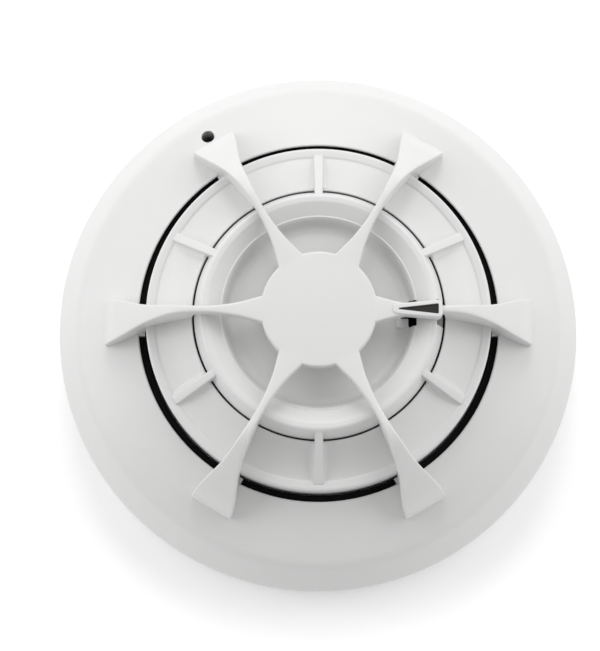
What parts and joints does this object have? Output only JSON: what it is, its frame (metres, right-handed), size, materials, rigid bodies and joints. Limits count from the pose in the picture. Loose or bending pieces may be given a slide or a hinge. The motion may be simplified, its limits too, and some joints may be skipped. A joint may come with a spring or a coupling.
{
  "type": "heat detector",
  "caption": "Round plug-in heat detector head with a wheel-shaped guard over its sensing chamber, on a twist-lock mounting base.",
  "frame": {"origin": "centre of the base's flat back face", "axes": "+Z out through the sensing face, away from the mounting surface; +X along the guard arm that carries the indicator window; +Y completes the right-handed set, with the lock hole at 120 degrees from +X"},
  "size_m": [0.112, 0.112, 0.0454],
  "materials": {
    "cover_white": "fine satin texture, slightly warm white",
    "base_white": "satin off-white",
    "black_plastic": "matt black",
    "smoked_lens": "glossy, smoked almost black",
    "tinned_wire": "bright tin",
    "bead_coating": "glossy dark epoxy",
    "board_green": "solder mask",
    "led_lens": "clear, faintly pink",
    "chip_black": "moulded epoxy",
    "capacitor_sleeve": "shrunk sleeve",
    "suppressor_blue": "dipped epoxy",
    "label_paper": "blank matt label",
    "nickel": "nickel-plated spring brass",
    "steel": "zinc-plated"
  },
  "bodies": {
    "base": {"base_plate": "base_white", "lock_spring": "steel", "lock_plug": "base_white", "terminal_plate_1": "nickel", "terminal_plate_2": "nickel", "terminal_plate_3": "nickel", "terminal_plate_4": "nickel", "clamp_washer_1": "steel", "clamp_washer_2": "steel", "clamp_washer_3": "steel", "clamp_washer_4": "steel", "terminal_screw_1": "steel", "terminal_screw_2": "steel", "terminal_screw_3": "steel", "terminal_screw_4": "steel"},
    "head": {"outer_cover": "cover_white", "dome_ring": "cover_white", "chamber_collar": "cover_white", "baffle_ring": "black_plastic", "light_pipe": "smoked_lens", "sensor_holder": "black_plastic", "sensor_lead_1": "tinned_wire", "sensor_lead_2": "tinned_wire", "sensor_bead": "bead_coating", "circuit_board": "board_green", "indicator_led": "led_lens", "microcontroller": "chip_black", "bridge_rectifier": "chip_black", "filter_capacitor": "capacitor_sleeve", "surge_suppressor": "suppressor_blue", "back_housing": "base_white", "rear_label": "label_paper", "board_screw_1": "steel", "board_screw_2": "steel", "board_screw_3": "steel", "cover_screw_1": "steel", "cover_screw_2": "steel", "cover_screw_3": "steel", "contact_blade_1": "nickel", "contact_blade_2": "nickel", "contact_blade_3": "nickel", "contact_blade_4": "nickel"},
    "lock": {"lock_plunger": "black_plastic"}
  },
  "joints": [
    {"name": "head_turn", "type": "hinge", "parent": "base", "child": "head", "pos_m": [0, 0, 0], "axis": [0, 0, 1], "range_deg": [0, 18]},
    {"name": "lock_press", "type": "slide", "parent": "base", "child": "lock", "axis": [0, 0, -1], "range_m": [0, 0.0016], "stiffness_N_per_m": 300, "deforming": ["lock_spring"]}
  ]
}
